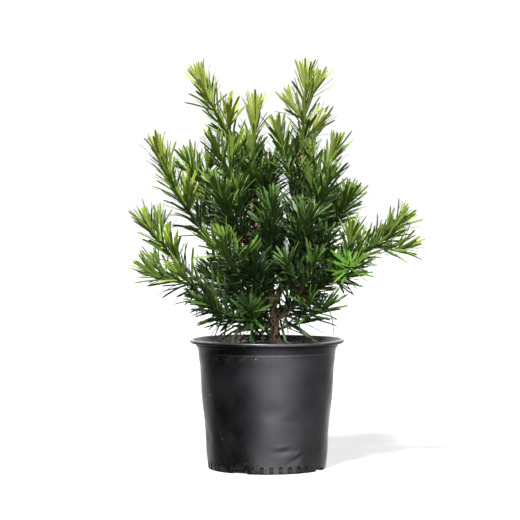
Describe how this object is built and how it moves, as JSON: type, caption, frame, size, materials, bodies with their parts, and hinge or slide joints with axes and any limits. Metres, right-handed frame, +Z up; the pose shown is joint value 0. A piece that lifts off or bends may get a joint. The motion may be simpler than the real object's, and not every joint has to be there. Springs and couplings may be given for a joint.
{
  "type": "potted podocarpus shrub",
  "caption": "Young evergreen shrub with narrow strap leaves on two upright leaders and spreading side shoots, growing in a round nursery pot.",
  "frame": {"origin": "centre of the pot's flat underside, on the ground", "axes": "+Z up, -Y towards the front of the plant, +X to its right seen from the front"},
  "size_m": [0.5301, 0.4021, 0.747],
  "materials": {
    "pot": "satin black, scuffed",
    "potting_mix": "loose bark chips and peat, matt",
    "bark": "rough bark",
    "leaf": "waxy leaf"
  },
  "bodies": {
    "root": {"pot": "pot", "potting_mix": "potting_mix", "trunk": "bark", "right_stem": "bark", "bough_left_low": "bark", "bough_left_mid": "bark", "bough_left_inner": "bark", "bough_left_fringe": "bark", "bough_left_front": "bark", "bough_right_low": "bark", "bough_right_fringe": "bark", "bough_right_mid": "bark", "bough_back_left": "bark", "bough_back_right": "bark", "bough_back_low_left": "bark", "bough_back_low_right": "bark", "foliage_left_leader": "leaf", "foliage_left_spur": "leaf", "foliage_left_shoulder": "leaf", "foliage_right_leader": "leaf", "foliage_right_spur": "leaf", "foliage_right_shoulder": "leaf", "foliage_left_upper": "leaf", "foliage_left_inner": "leaf", "foliage_left_core": "leaf", "foliage_left_arm": "leaf", "foliage_left_fringe": "leaf", "foliage_left_breast": "leaf", "foliage_left_foot": "leaf", "foliage_front_low": "leaf", "foliage_front": "leaf", "foliage_crotch": "leaf", "foliage_front_right": "leaf", "foliage_right_core": "leaf", "foliage_right_breast": "leaf", "foliage_right_foot": "leaf", "foliage_right_arm": "leaf", "foliage_right_fringe": "leaf", "foliage_right_upper": "leaf", "foliage_right_inner": "leaf", "foliage_back_left": "leaf", "foliage_back_top": "leaf", "foliage_back_middle": "leaf", "foliage_back_right": "leaf", "foliage_back_crest": "leaf", "foliage_back_low_left": "leaf", "foliage_back_low_right": "leaf"}
  },
  "joints": []
}
